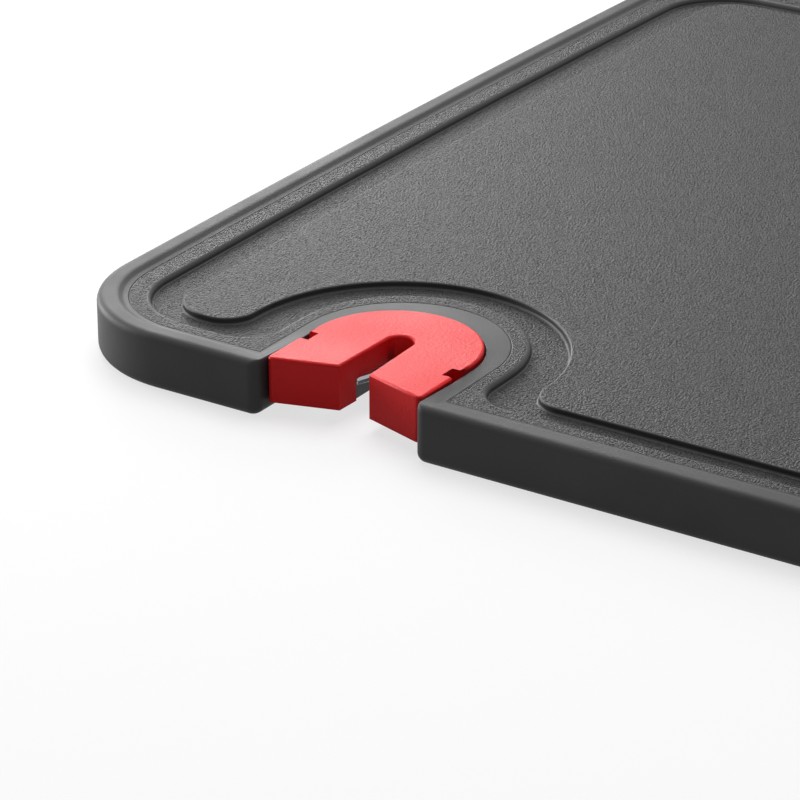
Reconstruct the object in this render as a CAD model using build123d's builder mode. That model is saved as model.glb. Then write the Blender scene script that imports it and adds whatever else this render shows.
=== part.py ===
from build123d import *
import os
from math import cos, radians, sin

# Cutting board with a soft rim, a juice groove and a pull-through knife sharpener that slides out
# of a notch in the front edge.  Millimetres.  X runs along the long sides, Y from the front edge
# (the notched one) to the back, Z up.  The origin is the middle of the footprint, on the worktop.

# Board
board_length = 300.0
board_width = 200.0
board_thickness = 9.0
corner_radius = 20.8
end_crown = 1.2                # how far the short ends swell at their middle
top_edge_radius = 1.2
bottom_edge_radius = 1.5

# Soft rim round the plate
rim_width = 4.8
rim_rise = 0.6                 # the rim stands this far above and below the plate
rim_ledge = 0.8                # the rim is level with the plate over this width
rim_slope = 1.1                # width of the sloped wall from the ledge up to the rim's top
tongue_reach = 2.2             # the plate's tongue reaches this far into the rim
tongue_thickness = 1.6
tongue_height = 4.6            # middle of the tongue above the worktop

# Plate's margin outside the juice groove, and the groove: along the long sides and the short ends
margin_side_width = 2.8
margin_end_width = 3.7
groove_side_width = 3.9
groove_end_width = 6.0
groove_depth = 1.15
groove_lip_radius = 0.9
groove_corner_radius = 13.0
groove_mouth_radius = 6.0
plateau_corner_radius = 6.8
plateau_mouth_radius = 5.0

# Notch in the front edge.  Each U's arc is centred behind the front edge.
notch_half_width = 13.6
notch_centre = 15.9
notch_mouth_radius = 1.8

# What goes round the notch: widths beside it, and how far each arc's centre lies behind the notch's
lining_width = 2.6
lining_setback = 2.3
lining_slope = 10.0            # the lining would rise to the rim's full height over this width
notch_margin_width = 2.5
groove_setback = 3.1
notch_groove_width = 6.7
plateau_setback = 1.3
plateau_arm_width = 14.1       # the plateau's narrow arm between the notch and the near short end
plateau_arm_flat = 1.0         # the arm's two rounded corners leave at least this straight

# Rail in the notch that carries the sharpener
rail_reach = 1.2
rail_start = 8.0               # behind the front edge
rail_clearance = 0.25

# Sharpener housing
module_gap = 0.2
module_bottom = 2.0
module_height = 7.2
module_front = 2.2             # outer front corners, behind the board's front edge
funnel_depth = 3.3             # the arms' front faces slant in this far towards the slot
module_corner_radius = 0.8
module_edge_radius = 0.45
slot_mouth_half_width = 2.6
slot_end_half_width = 2.2
slot_end = 19.8                # behind the board's front edge
pocket_start = 10.8
pocket_length = 2.8
pocket_width = 1.7
pocket_depth = 3.0

# Carbide blades, crossed to a V seen from above
blade_length = 9.0
blade_width = 3.4
blade_thickness = 1.2
blade_half_angle = 20.0
blade_tail = 2.3               # length behind the point where the two edges cross
blade_crossing = 16.0          # behind the board's front edge
blade_stack_bottom = 4.3
blade_clearance = 0.05
pad_setback = 0.3              # the cover's pads stay this far from the slot's wall

# Cover and its screws
cover_thickness = 1.2
cover_inset = 1.4
cover_clearance = 0.1
screw_radius = 0.95
screw_length = 5.8
screw_tip_length = 0.9
screw_tip_radius = 0.3
screw_head_radius = 1.85
screw_hole_clearance = 0.05
screw_depth_clearance = 0.4
recess_span = 1.9
recess_width = 0.4
recess_depth = 0.5
arm_screw_y = 8.6              # behind the board's front edge
rear_screw_angle = 45.0

# Places that follow from the sizes
front_y = -board_width / 2
groove_side_inset = rim_width + margin_side_width
groove_end_inset = rim_width + margin_end_width
plateau_side_inset = groove_side_inset + groove_side_width
plateau_end_inset = groove_end_inset + groove_end_width
lining_half_width = notch_half_width + lining_width
lining_centre = notch_centre + lining_setback
groove_half_width = lining_half_width + notch_margin_width
groove_centre = notch_centre + groove_setback
plateau_half_width = groove_half_width + notch_groove_width
plateau_mouth_room = plateau_arm_width - end_crown - plateau_corner_radius - plateau_arm_flat
plateau_centre = notch_centre + plateau_setback
notch_from_end = plateau_end_inset + plateau_arm_width + plateau_half_width
notch_x = -board_length / 2 + notch_from_end
plate_bottom = rim_rise
plate_top = board_thickness - rim_rise
tongue_bottom = tongue_height - tongue_thickness / 2
rail_tip = notch_half_width - rail_reach
groove_floor_half_width = rail_tip - rail_clearance
module_half_width = notch_half_width - module_gap
module_top = module_bottom + module_height
slot_arc_y = front_y + slot_end - slot_end_half_width
past_front = 2 * corner_radius


def crowned_outline(side_inset, end_inset, corner):
    """The board's plan outline, drawn in from its long sides and from its crowned ends."""
    half_width = board_width / 2 - side_inset
    half_length = board_length / 2 - end_inset
    corner_x = half_length - end_crown
    with BuildSketch() as outline:
        with BuildLine():
            Line((-corner_x, -half_width), (corner_x, -half_width))
            ThreePointArc((corner_x, -half_width), (half_length, 0), (corner_x, half_width))
            Line((corner_x, half_width), (-corner_x, half_width))
            ThreePointArc((-corner_x, half_width), (-half_length, 0), (-corner_x, -half_width))
        make_face()
        fillet(outline.vertices(), corner)
    return outline.sketch


def notch_outline(half_width, centre):
    """A U round the notch's axis that runs out past the front edge."""
    arc_y = front_y + centre
    left_x = notch_x - half_width
    right_x = notch_x + half_width
    with BuildSketch() as outline:
        with BuildLine():
            Line((left_x, arc_y), (left_x, front_y - past_front))
            Line((left_x, front_y - past_front), (right_x, front_y - past_front))
            Line((right_x, front_y - past_front), (right_x, arc_y))
            ThreePointArc((right_x, arc_y), (notch_x, arc_y + half_width), (left_x, arc_y))
        make_face()
    return outline.sketch


def notched_outline(side_inset, end_inset, corner, half_width, centre, mouth_radius=0.0):
    """The crowned outline less the U, with the two corners at the U's mouth rounded."""
    with BuildSketch() as outline:
        add(crowned_outline(side_inset, end_inset, corner))
        add(notch_outline(half_width, centre), mode=Mode.SUBTRACT)
        if mouth_radius > 0:
            mouth = Vector(notch_x, front_y + side_inset)
            fillet(outline.vertices().sort_by_distance(mouth)[:2], mouth_radius)
    return outline.sketch


def behind(distance):
    """All of the plan further than a distance behind the front edge."""
    with BuildSketch() as outline:
        with Locations((0, front_y + distance)):
            Rectangle(board_length, board_width, align=(Align.CENTER, Align.MIN))
    return outline.sketch


# Plan outlines that several pieces share
plate_outline = notched_outline(
    rim_width, rim_width, corner_radius - rim_width, lining_half_width, lining_centre
)
tongue_inset = rim_width - tongue_reach
tongue_outline = notched_outline(
    tongue_inset, tongue_inset, corner_radius - tongue_inset, lining_half_width, lining_centre
)
with BuildSketch() as rail:
    add(notch_outline(lining_half_width + rail_reach, lining_centre))
    add(notch_outline(rail_tip, notch_centre), mode=Mode.SUBTRACT)
    add(behind(rail_start), mode=Mode.INTERSECT)
rail_outline = rail.sketch


# Cutting plate: rigid plastic, with the juice groove, the tongue and the sharpener's rail
with BuildPart() as cutting_plate:
    with BuildSketch(Plane.XY.offset(plate_bottom)):
        add(plate_outline)
    extrude(amount=plate_top - plate_bottom)
    with BuildSketch(Plane.XY.offset(tongue_bottom)):
        add(tongue_outline)
        add(rail_outline)
    extrude(amount=tongue_thickness)
    with BuildSketch(Plane.XY.offset(plate_top)):
        add(notched_outline(
            groove_side_inset, groove_end_inset, groove_corner_radius,
            groove_half_width, groove_centre, groove_mouth_radius
        ))
        add(notched_outline(
            plateau_side_inset, plateau_end_inset, plateau_corner_radius,
            plateau_half_width, plateau_centre, min(plateau_mouth_radius, plateau_mouth_room)
        ), mode=Mode.SUBTRACT)
    extrude(amount=-groove_depth, mode=Mode.SUBTRACT)
    top_faces = cutting_plate.faces().filter_by_position(Axis.Z, plate_top, plate_top)
    margin = top_faces.sort_by(SortBy.AREA)[0]
    fillet(margin.inner_wires().edges(), groove_lip_radius)
cutting_plate.part.label = "cutting_plate"


# Soft rim: overmoulded round the plate and through the notch
with BuildPart() as soft_rim:
    with BuildSketch():
        add(notched_outline(
            0, 0, corner_radius, notch_half_width, notch_centre, notch_mouth_radius
        ))
    extrude(amount=board_thickness)
    fillet(soft_rim.edges().group_by(Axis.Z)[-1], top_edge_radius)
    fillet(soft_rim.edges().group_by(Axis.Z)[0], bottom_edge_radius)
    with BuildSketch():
        add(plate_outline)
    extrude(amount=plate_top, mode=Mode.SUBTRACT)
    ledge_inset = rim_width - rim_ledge
    slope_inset = ledge_inset - rim_slope
    with BuildSketch(Plane.XY.offset(plate_top)):
        add(notched_outline(
            ledge_inset, ledge_inset, corner_radius - ledge_inset,
            lining_half_width, lining_centre
        ))
    with BuildSketch(Plane.XY.offset(board_thickness)):
        add(notched_outline(
            slope_inset, slope_inset, corner_radius - slope_inset,
            lining_half_width - lining_slope, lining_centre
        ))
    loft(ruled=True, mode=Mode.SUBTRACT)
    with BuildSketch(Plane.XY.offset(tongue_bottom)):
        add(tongue_outline)
        add(rail_outline)
    extrude(amount=tongue_thickness, mode=Mode.SUBTRACT)
soft_rim.part.label = "soft_rim"


# Sharpener housing: a U round the knife slot, hollowed from below for the blades and the cover
with BuildSketch() as module_outline:
    with BuildLine():
        arc_y = front_y + notch_centre
        outer_y = front_y + module_front
        inner_y = outer_y + funnel_depth
        Line((notch_x + module_half_width, arc_y), (notch_x + module_half_width, outer_y))
        Line((notch_x + module_half_width, outer_y), (notch_x + slot_mouth_half_width, inner_y))
        Line((notch_x + slot_mouth_half_width, inner_y), (notch_x + slot_end_half_width, slot_arc_y))
        ThreePointArc(
            (notch_x + slot_end_half_width, slot_arc_y),
            (notch_x, front_y + slot_end),
            (notch_x - slot_end_half_width, slot_arc_y),
        )
        Line((notch_x - slot_end_half_width, slot_arc_y), (notch_x - slot_mouth_half_width, inner_y))
        Line((notch_x - slot_mouth_half_width, inner_y), (notch_x - module_half_width, outer_y))
        Line((notch_x - module_half_width, outer_y), (notch_x - module_half_width, arc_y))
        ThreePointArc(
            (notch_x - module_half_width, arc_y),
            (notch_x, arc_y + module_half_width),
            (notch_x + module_half_width, arc_y),
        )
    make_face()
    fillet(module_outline.vertices().group_by(Axis.Y)[0], module_corner_radius)


def blade_outline(side, margin):
    """A blade in plan, grown by a margin: side is +1 for the right-hand blade, -1 for the left."""
    edge_x = side * sin(radians(blade_half_angle))
    edge_y = -cos(radians(blade_half_angle))
    middle = blade_length / 2 - blade_tail
    centre_x = notch_x + edge_x * middle - side * edge_y * blade_width / 2
    centre_y = front_y + blade_crossing + edge_y * middle + side * edge_x * blade_width / 2
    with BuildSketch() as outline:
        with Locations(Location((centre_x, centre_y), side * blade_half_angle)):
            Rectangle(blade_width + 2 * margin, blade_length + 2 * margin)
    return outline.sketch


blade_bottoms = {-1: blade_stack_bottom, 1: blade_stack_bottom + blade_thickness}
cover_top = module_bottom + cover_thickness
arm_screw_x = (slot_mouth_half_width + groove_floor_half_width) / 2
rear_screw_reach = (slot_end_half_width + groove_floor_half_width) / 2
rear_screw_x = rear_screw_reach * sin(radians(rear_screw_angle))
rear_screw_y = notch_centre + rear_screw_reach * cos(radians(rear_screw_angle))
screw_spots = [
    (notch_x + side * x, front_y + y)
    for side in (-1, 1)
    for x, y in ((arm_screw_x, arm_screw_y), (rear_screw_x, rear_screw_y))
]

with BuildPart() as sharpener_housing:
    with BuildSketch(Plane.XY.offset(module_bottom)):
        add(module_outline.sketch)
    extrude(amount=module_height)
    fillet(sharpener_housing.edges().group_by(Axis.Z)[-1], module_edge_radius)
    # Side pockets, open to the top
    with BuildSketch(Plane.XY.offset(module_top)):
        for side in (-1, 1):
            with Locations((notch_x + side * module_half_width, front_y + pocket_start)):
                Rectangle(2 * pocket_width, pocket_length, align=(Align.CENTER, Align.MIN))
    extrude(amount=-pocket_depth, mode=Mode.SUBTRACT)
    # Groove for the notch's rail
    with BuildSketch(Plane.XY.offset(tongue_bottom - rail_clearance)):
        add(notch_outline(notch_half_width, notch_centre))
        add(notch_outline(groove_floor_half_width, notch_centre), mode=Mode.SUBTRACT)
        add(behind(rail_start - rail_clearance), mode=Mode.INTERSECT)
    extrude(amount=tongue_thickness + 2 * rail_clearance, mode=Mode.SUBTRACT)
    # Recess for the cover
    with BuildSketch(Plane.XY.offset(module_bottom)):
        add(module_outline.sketch)
        offset(amount=-cover_inset)
    extrude(amount=cover_thickness, mode=Mode.SUBTRACT)
    # Pockets for the blades, open below
    for side, blade_bottom in blade_bottoms.items():
        with BuildSketch(Plane.XY.offset(module_bottom)):
            add(blade_outline(side, blade_clearance))
        extrude(amount=blade_bottom + blade_thickness - module_bottom, mode=Mode.SUBTRACT)
    with BuildSketch(Plane.XY.offset(module_bottom)):
        with Locations(*screw_spots):
            Circle(screw_radius + screw_hole_clearance)
    extrude(amount=screw_length + screw_depth_clearance, mode=Mode.SUBTRACT)
sharpener_housing.part.label = "sharpener_housing"


# Cover: closes the housing from below and presses the blades up with two pads
with BuildPart() as sharpener_cover:
    with BuildSketch(Plane.XY.offset(module_bottom)):
        add(module_outline.sketch)
        offset(amount=-cover_inset - cover_clearance)
    extrude(amount=cover_thickness)
    for side, blade_bottom in blade_bottoms.items():
        with BuildSketch(Plane.XY.offset(module_bottom)):
            add(blade_outline(side, -blade_clearance))
            pad_x = notch_x + side * (slot_mouth_half_width + pad_setback)
            with Locations((pad_x, front_y)):
                Rectangle(
                    module_half_width, board_width,
                    align=(Align.MIN if side > 0 else Align.MAX, Align.MIN),
                    mode=Mode.INTERSECT,
                )
        extrude(amount=blade_bottom - module_bottom)
    with Locations(*[Location((x, y, module_bottom), (180, 0, 0)) for x, y in screw_spots]):
        CounterSinkHole(
            screw_radius + screw_hole_clearance,
            screw_head_radius + screw_hole_clearance,
            depth=cover_thickness,
        )
sharpener_cover.part.label = "sharpener_cover"


def carbide_blade(side, name):
    """One blade, whose long inner edge is the sharpening edge."""
    with BuildPart() as blade:
        with BuildSketch(Plane.XY.offset(blade_bottoms[side])):
            add(blade_outline(side, 0))
        extrude(amount=blade_thickness)
    blade.part.label = name
    return blade


left_carbide_blade = carbide_blade(-1, "left_carbide_blade")
right_carbide_blade = carbide_blade(1, "right_carbide_blade")


# Cover screws: countersunk, with a cross recess, driven up from below
screw_end = module_bottom + screw_length
head_height = screw_head_radius - screw_radius
with BuildPart() as cover_screws:
    for x, y in screw_spots:
        with BuildSketch(Plane.XZ.offset(-y)):
            with BuildLine():
                Polyline(
                    (x, module_bottom),
                    (x + screw_head_radius, module_bottom),
                    (x + screw_radius, module_bottom + head_height),
                    (x + screw_radius, screw_end - screw_tip_length),
                    (x + screw_tip_radius, screw_end),
                    (x, screw_end),
                    close=True,
                )
            make_face()
        revolve(axis=Axis((x, y, 0), (0, 0, 1)))
    with BuildSketch(Plane.XY.offset(module_bottom)):
        with Locations(*screw_spots):
            Rectangle(recess_span, recess_width)
            Rectangle(recess_width, recess_span)
    extrude(amount=recess_depth, mode=Mode.SUBTRACT)
cover_screws.part.label = "cover_screws"


os.makedirs("parts", exist_ok=True)
export_step(cutting_plate.part, "parts/cutting_plate.step")
export_step(soft_rim.part, "parts/soft_rim.step")
export_step(sharpener_housing.part, "parts/sharpener_housing.step")
export_step(sharpener_cover.part, "parts/sharpener_cover.step")
export_step(left_carbide_blade.part, "parts/left_carbide_blade.step")
export_step(right_carbide_blade.part, "parts/right_carbide_blade.step")
export_step(cover_screws.part, "parts/cover_screws.step")
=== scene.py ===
import logging
import math
from dataclasses import dataclass, replace
from enum import Enum
from typing import Any, Iterator, Mapping, Sequence

import bmesh
import bpy
from bpy.types import ID, Material, Node, NodeSocket, NodeTree, Object
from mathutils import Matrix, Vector


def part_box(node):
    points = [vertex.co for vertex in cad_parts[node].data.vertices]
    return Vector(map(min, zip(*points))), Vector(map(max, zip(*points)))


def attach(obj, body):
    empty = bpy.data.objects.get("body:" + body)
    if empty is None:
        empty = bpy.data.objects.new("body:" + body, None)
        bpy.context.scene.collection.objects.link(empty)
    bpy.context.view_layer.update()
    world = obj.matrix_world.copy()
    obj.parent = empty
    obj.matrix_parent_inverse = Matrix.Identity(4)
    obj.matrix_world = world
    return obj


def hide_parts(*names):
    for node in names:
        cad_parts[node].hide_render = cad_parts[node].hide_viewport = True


# A cutting board with a soft rim, a juice groove and a pull-through sharpener that slides out of a
# notch in its front edge.  X runs along the long sides, Y from the notched front edge to the back,
# Z up.  Sizes are in millimetres and are turned into Blender's metres where a mesh is made.

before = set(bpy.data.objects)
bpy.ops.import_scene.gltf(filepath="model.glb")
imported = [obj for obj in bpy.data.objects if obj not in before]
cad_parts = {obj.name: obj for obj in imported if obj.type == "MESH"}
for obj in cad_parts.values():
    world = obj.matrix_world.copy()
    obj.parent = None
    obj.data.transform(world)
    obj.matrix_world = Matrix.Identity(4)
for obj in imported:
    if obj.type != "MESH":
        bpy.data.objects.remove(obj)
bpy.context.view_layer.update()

MM = 0.001
QUARTER_TURN = math.pi / 2
SHARP = 0.002                   # mm, the radius of a corner that looks sharp
WELD = 0.005                    # mm, points nearer than this are one point
FLAT = math.radians(0.3)        # faces that differ less than this are one flat face
CREASE = math.radians(32)       # an edge between faces that differ more than this stays sharp
LARGE_FACE_WEIGHT = 80          # how strongly large faces set the shading at their corners
MATHS = "ShaderNodeMath"
LOG = logging.getLogger("cutting_board")


class Body(Enum):
    """The two bodies that move against each other."""

    BOARD = "board"
    SHARPENER = "sharpener"


class Caps(Enum):
    """Which ends of a stack of rings a skin closes."""

    NONE = "none"
    BOTH = "both"


def srgb(colour: str) -> tuple[float, float, float, float]:
    """Turns an sRGB hex colour into linear red, green, blue and alpha.

    Args:
        colour: The colour as "#rrggbb".

    Returns:
        Its linear values, with an alpha of 1.
    """
    channels = [int(colour[i:i + 2], 16) / 255 for i in (1, 3, 5)]
    linear = [c / 12.92 if c <= 0.04045 else ((c + 0.055) / 1.055) ** 2.4 for c in channels]
    return (linear[0], linear[1], linear[2], 1.0)


def add_node(
    tree: NodeTree, kind: str, inputs: Mapping[Any, Any] | None = None, **settings: Any
) -> Node:
    """Adds a node to a tree, with its settings, its values and its links.

    Args:
        tree: The tree that gets the node.
        kind: The node's type, such as "ShaderNodeBump".
        inputs: For an input's name or number, its value or what feeds it: an output, a node whose
            first output does, or a list of these.
        **settings: The node's own properties, such as operation="MULTIPLY".

    Returns:
        The new node.
    """
    node = tree.nodes.new(kind)
    for name, value in settings.items():
        setattr(node, name, value)
    for key, feed in (inputs or {}).items():
        for value in feed if isinstance(feed, list) else [feed]:
            source = value.outputs[0] if isinstance(value, Node) else value
            if isinstance(source, NodeSocket):
                tree.links.new(source, node.inputs[key])
            else:
                node.inputs[key].default_value = source
    return node


def seen_rays(tree: NodeTree) -> Node:
    """Adds the nodes that give 1 for what the camera sees, straight, mirrored or through glass.

    Args:
        tree: The tree.

    Returns:
        The last of them.
    """
    path = add_node(tree, "ShaderNodeLightPath")
    straight_or_mirrored = add_node(tree, MATHS, {
        0: path.outputs["Is Camera Ray"], 1: path.outputs["Is Glossy Ray"],
    }, operation="MAXIMUM")
    return add_node(tree, MATHS, {
        0: straight_or_mirrored, 1: path.outputs["Is Transmission Ray"],
    }, operation="MAXIMUM")


def box_mm(node: str) -> tuple[Vector, Vector]:
    """Gives a CAD node's lowest and highest corners in millimetres."""
    low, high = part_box(node)
    return low / MM, high / MM


# ---- Finishes ----


@dataclass(frozen=True)
class Finish:
    """What every finish has: a name, a colour and how rough its surface is."""

    name: str
    colour: str
    roughness: float

    def material(self) -> Material:
        """Builds the material.

        Returns:
            The material, with its tree complete.
        """
        material = bpy.data.materials.new(self.name)
        material.use_nodes = True
        tree = material.node_tree
        tree.nodes.clear()
        place = add_node(tree, "ShaderNodeTexCoord").outputs["Object"]
        millimetres = add_node(
            tree, "ShaderNodeVectorMath", {0: place, "Scale": 1 / MM}, operation="SCALE",
        )
        add_node(tree, "ShaderNodeOutputMaterial", {"Surface": self.surface(tree, millimetres)})
        return material

    def surface(self, tree: NodeTree, place: Node) -> Node:
        """Adds the nodes that make the surface.

        Args:
            tree: The material's tree.
            place: The node that gives the object coordinates in millimetres.

        Returns:
            The shader's node.
        """
        raise NotImplementedError

    def shades(self, lift: float) -> dict[int, tuple[float, ...]]:
        """Gives a colour mix its two ends: this colour, and one that is paler by a factor."""
        colour = srgb(self.colour)
        return {6: colour, 7: (*(c * lift for c in colour[:3]), 1.0)}


@dataclass(frozen=True)
class GrainedPolypropylene(Finish):
    """Injection-moulded polypropylene with a leather grain etched into the mould.

    The grain breaks the light up into small wrinkles, whose pits shine less than their tops, so the
    plate looks matt and pebbled, and its colour hardly varies. The mould has no grain on steep walls,
    which would hold it back, so the groove's walls and edges are smooth and catch a thin light line.
    """

    grain_width: float = 0.36       # mm across a wrinkle
    grain_depth: float = 0.15       # mm
    pebble_share: float = 0.7       # depth of the gaps between pebbles, against the wrinkles'
    pore_width: float = 0.16        # mm
    pore_share: float = 0.18        # depth of the pores, against the wrinkles'
    flow_width: float = 60.0        # mm, the faint clouds that the melt leaves
    specular: float = 0.5           # about halfway up the grain
    wall_specular: float = 0.4      # on the smooth steep walls
    wall_angle: float = 22.0        # degrees from level, where the grain has run out
    level_angle: float = 6.0        # degrees from level, up to which it is whole

    def surface(self, tree: NodeTree, place: Node) -> Node:
        """Adds the grain, the clouds and the shader.

        Args:
            tree: The material's tree.
            place: The node that gives the object coordinates in millimetres.

        Returns:
            The shader's node.
        """
        wrinkles = add_node(tree, "ShaderNodeTexNoise", {
            "Vector": place, "Scale": 1 / self.grain_width, "Detail": 1.5, "Roughness": 0.55,
            "Distortion": 0.3,
        })
        cells = add_node(tree, "ShaderNodeTexVoronoi", {
            "Vector": place, "Scale": 1.1 / self.grain_width, "Smoothness": 0.5,
        }, feature="SMOOTH_F1")
        pores = add_node(tree, "ShaderNodeTexNoise", {
            "Vector": place, "Scale": 1 / self.pore_width, "Detail": 1.0,
        })
        pebbles = add_node(
            tree, MATHS, {0: cells, 1: -self.pebble_share, 2: wrinkles}, operation="MULTIPLY_ADD",
        )
        relief = add_node(
            tree, MATHS, {0: pores, 1: self.pore_share, 2: pebbles}, operation="MULTIPLY_ADD",
        )
        clouds = add_node(tree, "ShaderNodeTexNoise", {
            "Vector": place, "Scale": 1 / self.flow_width, "Detail": 2.0,
        })
        tint = add_node(tree, "ShaderNodeMix", {"Factor": clouds, **self.shades(1.12)}, data_type="RGBA")
        height = {"Value": relief, "From Min": -0.1, "From Max": 0.6}
        dull = add_node(tree, "ShaderNodeMapRange", {
            **height, "To Min": self.roughness + 0.08, "To Max": self.roughness - 0.06,
        })
        shine = add_node(tree, "ShaderNodeMapRange", {
            **height, "To Min": self.specular * 0.35, "To Max": self.specular * 1.8,
        })
        level = self._level(tree)
        gloss = add_node(tree, "ShaderNodeMix", {
            "Factor": level, 2: self.wall_specular, 3: shine,
        }, data_type="FLOAT")
        bump = add_node(tree, "ShaderNodeBump", {
            "Height": relief, "Strength": level, "Distance": self.grain_depth * MM * 2,
        })
        return add_node(tree, "ShaderNodeBsdfPrincipled", {
            "Base Color": tint.outputs[2], "Roughness": dull, "Specular IOR Level": gloss,
            "Normal": bump,
        })

    def _level(self, tree: NodeTree) -> Node:
        """Adds nodes that give 1 where the surface is level and 0 on the steep walls.

        Args:
            tree: The material's tree.

        Returns:
            The last of them.
        """
        normal = add_node(tree, "ShaderNodeTexCoord").outputs["Normal"]
        upright = add_node(tree, "ShaderNodeSeparateXYZ", {0: normal}).outputs["Z"]
        either_way = add_node(tree, MATHS, {0: upright}, operation="ABSOLUTE")
        return add_node(tree, "ShaderNodeMapRange", {
            "Value": either_way, "From Min": math.cos(math.radians(self.wall_angle)),
            "From Max": math.cos(math.radians(self.level_angle)),
        })


@dataclass(frozen=True)
class SmoothPlastic(Finish):
    """Injection-moulded plastic from a fine-blasted mould: ABS, or a softer elastomer.

    The blasting leaves a fine frost that spreads each highlight, and handling polishes it a little.
    """

    frost_width: float = 0.22       # mm, drawn two to five times as coarse as the real frost, to show
    frost_depth: float = 0.004      # mm
    specular: float = 0.5
    handling_width: float = 14.0    # mm across the patches that hands have polished

    def surface(self, tree: NodeTree, place: Node) -> Node:
        """Adds the frost, the handling and the shader.

        Args:
            tree: The material's tree.
            place: The node that gives the object coordinates in millimetres.

        Returns:
            The shader's node.
        """
        frost = add_node(tree, "ShaderNodeTexNoise", {
            "Vector": place, "Scale": 1 / self.frost_width, "Detail": 2.0, "Roughness": 0.6,
        })
        handling = add_node(tree, "ShaderNodeTexNoise", {
            "Vector": place, "Scale": 1 / self.handling_width, "Detail": 3.0,
        })
        dull = add_node(tree, "ShaderNodeMapRange", {
            "Value": handling, "From Min": 0.3, "From Max": 0.7,
            "To Min": self.roughness - 0.04, "To Max": self.roughness + 0.05,
        })
        tint = add_node(tree, "ShaderNodeMix", {"Factor": handling, **self.shades(1.06)}, data_type="RGBA")
        bump = add_node(tree, "ShaderNodeBump", {
            "Height": frost, "Strength": 1.0, "Distance": self.frost_depth * MM,
        })
        return add_node(tree, "ShaderNodeBsdfPrincipled", {
            "Base Color": tint.outputs[2], "Roughness": dull, "Specular IOR Level": self.specular,
            "Normal": bump,
        })


@dataclass(frozen=True)
class GroundMetal(Finish):
    """Bare metal that a wheel or a die has drawn fine parallel lines on.

    The lines spread each highlight across them, and make it a little uneven along them.
    """

    line_width: float = 0.06        # mm between grinding lines
    line_length: float = 6.0        # mm
    line_depth: float = 0.003       # mm

    def surface(self, tree: NodeTree, place: Node) -> Node:
        """Adds the lines and the shader.

        Args:
            tree: The material's tree.
            place: The node that gives the object coordinates in millimetres.

        Returns:
            The shader's node.
        """
        drawn_out = add_node(tree, "ShaderNodeMapping", {
            "Vector": place,
            "Scale": (1 / self.line_width, 1 / self.line_length, 1 / self.line_width),
        })
        lines = add_node(tree, "ShaderNodeTexNoise", {"Vector": drawn_out, "Scale": 1.0, "Detail": 2.0})
        dull = add_node(tree, "ShaderNodeMapRange", {
            "Value": lines, "From Min": 0.3, "From Max": 0.7,
            "To Min": self.roughness - 0.07, "To Max": self.roughness + 0.1,
        })
        bump = add_node(tree, "ShaderNodeBump", {
            "Height": lines, "Strength": 1.0, "Distance": self.line_depth * MM,
        })
        return add_node(tree, "ShaderNodeBsdfPrincipled", {
            "Base Color": srgb(self.colour), "Metallic": 1.0, "Roughness": dull, "Normal": bump,
        })


@dataclass(frozen=True)
class PaleFloor(Finish):
    """Matt white laminate under the board: it shows nearly white, and keeps the board's shadow.

    The light that it throws back up is that of a grey floor, so the board's sides stay dark.
    """

    glow: float = 0.7               # share of plain white light in what the camera sees of it
    thrown_colour: str = "#b0b0b0"  # its colour for the light that it throws back up
    paper_width: float = 2.5        # mm, the laminate's faint unevenness
    paper_depth: float = 0.002      # mm

    def surface(self, tree: NodeTree, place: Node) -> Node:
        """Adds the laminate and its glow.

        Args:
            tree: The material's tree.
            place: The node that gives the object coordinates in millimetres.

        Returns:
            The shader's node.
        """
        paper = add_node(tree, "ShaderNodeTexNoise", {
            "Vector": place, "Scale": 1 / self.paper_width, "Detail": 2.0,
        })
        bump = add_node(tree, "ShaderNodeBump", {
            "Height": paper, "Strength": 1.0, "Distance": self.paper_depth * MM,
        })
        seen = seen_rays(tree)
        paint = add_node(tree, "ShaderNodeMix", {
            "Factor": seen, 6: srgb(self.thrown_colour), 7: srgb(self.colour),
        }, data_type="RGBA")
        matt = add_node(tree, "ShaderNodeBsdfDiffuse", {"Color": paint.outputs[2], "Normal": bump})
        light = add_node(tree, "ShaderNodeEmission", {"Color": (1.0, 1.0, 1.0, 1.0), "Strength": 1.0})
        share = add_node(tree, MATHS, {0: seen, 1: self.glow}, operation="MULTIPLY")
        return add_node(tree, "ShaderNodeMixShader", {0: share, 1: matt, 2: light})


# ---- Pieces: how they are made and handed over ----


def new_object(name: str, data: ID) -> Object:
    """Puts a mesh, a curve, a lamp or a camera into the scene as an object.

    Args:
        name: The object's name.
        data: What it shows.

    Returns:
        The object.
    """
    thing = bpy.data.objects.new(name, data)
    bpy.context.scene.collection.objects.link(thing)
    return thing


def polylines(
    name: str, lines: Sequence[Sequence[tuple[Sequence[float], float]]], closed: bool = False
) -> Object:
    """Makes a curve object of straight lines, for a node tree to work on.

    Args:
        name: The object's name.
        lines: For each line its points, each with its place and the number that its radius holds.
        closed: Whether each line runs back to its start.

    Returns:
        The object.
    """
    curve = bpy.data.curves.new(name, "CURVE")
    curve.dimensions = "3D"
    for line in lines:
        spline = curve.splines.new("POLY")
        spline.points.add(len(line) - 1)
        spline.use_cyclic_u = closed
        for point, (place, radius) in zip(spline.points, line):
            point.co = (*place, 1.0)
            point.radius = radius
    return new_object(name, curve)


def start_tree(
    name: str, inputs: Mapping[str, str], output: str
) -> tuple[NodeTree, dict[str, NodeSocket]]:
    """Starts a Geometry Nodes tree.

    Args:
        name: The tree's name.
        inputs: For each input's name its kind, such as "Float".
        output: The output's name.

    Returns:
        The tree, and what gives each input by its name.
    """
    tree = bpy.data.node_groups.new(name, "GeometryNodeTree")
    for socket, kind in inputs.items():
        tree.interface.new_socket(socket, in_out="INPUT", socket_type=f"NodeSocket{kind}")
    tree.interface.new_socket(output, in_out="OUTPUT", socket_type="NodeSocketGeometry")
    given = add_node(tree, "NodeGroupInput")
    return tree, {socket: given.outputs[socket] for socket in inputs}


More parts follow.
